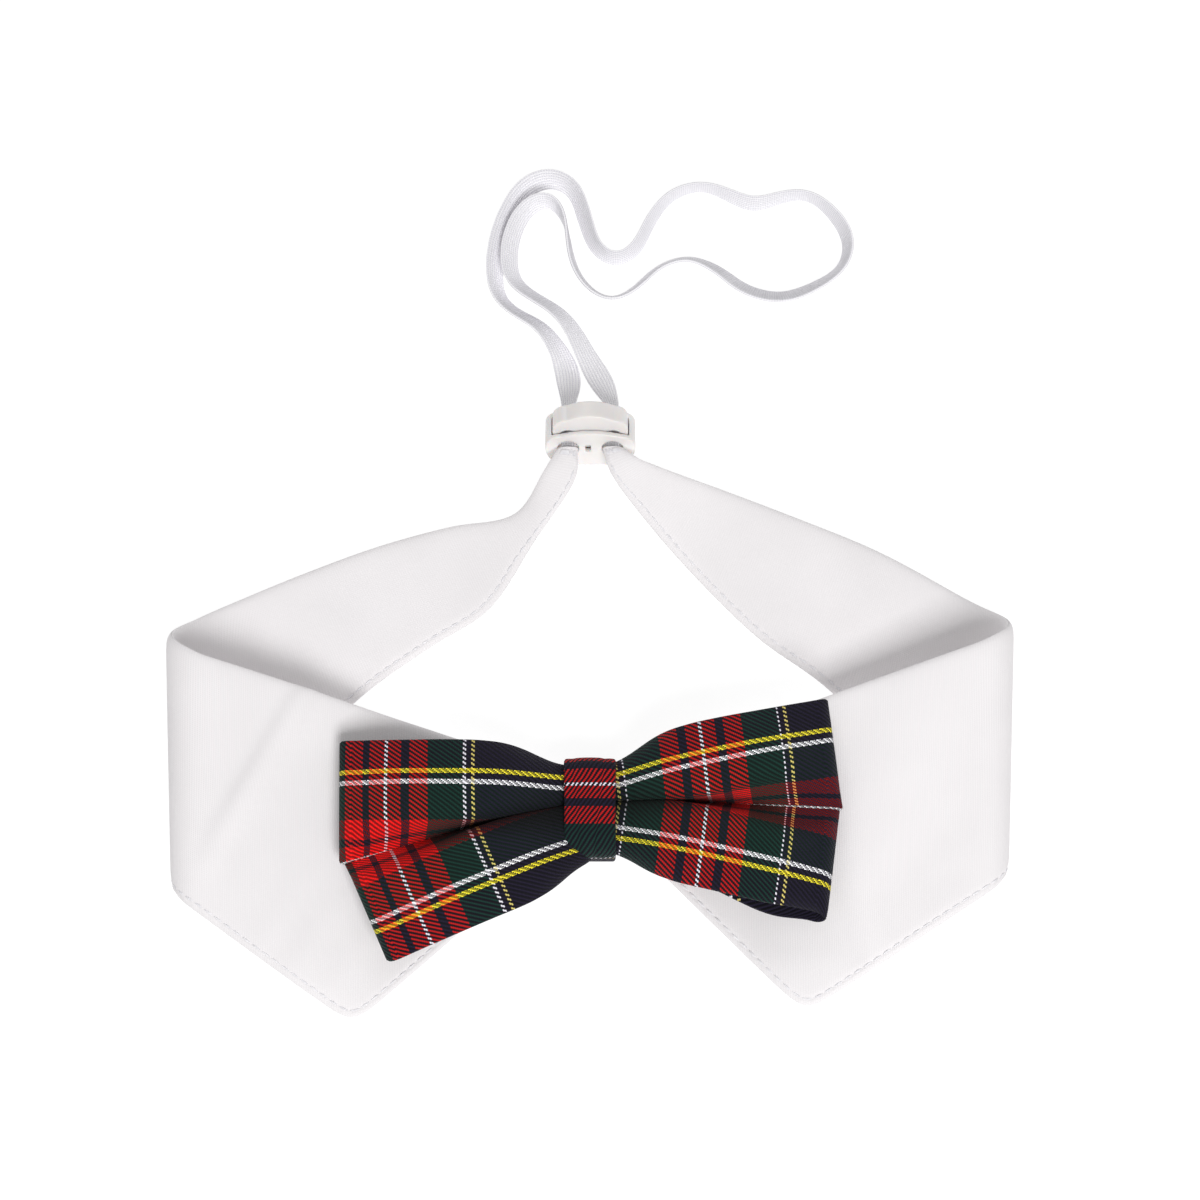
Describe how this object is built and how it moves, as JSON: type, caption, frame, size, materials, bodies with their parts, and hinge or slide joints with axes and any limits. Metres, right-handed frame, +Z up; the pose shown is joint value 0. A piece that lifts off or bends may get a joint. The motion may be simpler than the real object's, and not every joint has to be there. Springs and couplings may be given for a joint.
{
  "type": "bow tie",
  "caption": "Pre-tied tartan bow on a white two-wing fabric collar, closed behind by a looped elastic in a sprung cord lock.",
  "frame": {"origin": "centre of the footprint of the collar and bow, on the table they lie on; the elastic and its lock are not counted", "axes": "+Z up from the table, +X to the right of the bow, +Y from the bow towards the straps and the elastic"},
  "size_m": [0.1896, 0.1945, 0.0236],
  "materials": {
    "collar_cloth": "plain white woven cotton blend",
    "stiffener": "off-white bonded interfacing",
    "tartan": "red, green and navy twill tartan with white and yellow lines",
    "thread": "white sewing thread",
    "elastic": "white ribbed flat elastic",
    "lock_plastic": "moulded white, slightly translucent",
    "spring_steel": "drawn wire"
  },
  "bodies": {
    "collar": {"collar_left_outer": "collar_cloth", "collar_left_lining": "collar_cloth", "collar_left_interfacing": "stiffener", "collar_right_outer": "collar_cloth", "collar_right_lining": "collar_cloth", "collar_right_interfacing": "stiffener", "topstitch_left_wing": "thread", "topstitch_left_strap": "thread", "topstitch_right_wing": "thread", "topstitch_right_strap": "thread", "bartack_left": "thread", "bartack_right": "thread", "elastic_tail_left": "elastic", "elastic_tail_right": "elastic", "elastic_cord": "elastic", "bow_loop": "tartan", "bow_interlining": "stiffener", "gather_thread": "thread", "knot_band": "tartan"},
    "lock": {"lock_body": "lock_plastic", "lock_spring": "spring_steel"},
    "button": {"lock_button": "lock_plastic"}
  },
  "joints": [
    {"name": "lock_slide", "type": "slide", "parent": "collar", "child": "lock", "axis": [0, 0.9135, -0.4067], "range_m": [0, 0.004]},
    {"name": "button_press", "type": "slide", "parent": "lock", "child": "button", "axis": [0, 0.4067, 0.9135], "range_m": [-0.002, 0], "stiffness_N_per_m": 1500, "springref_m": 0.002, "deforming": ["lock_spring"]}
  ]
}
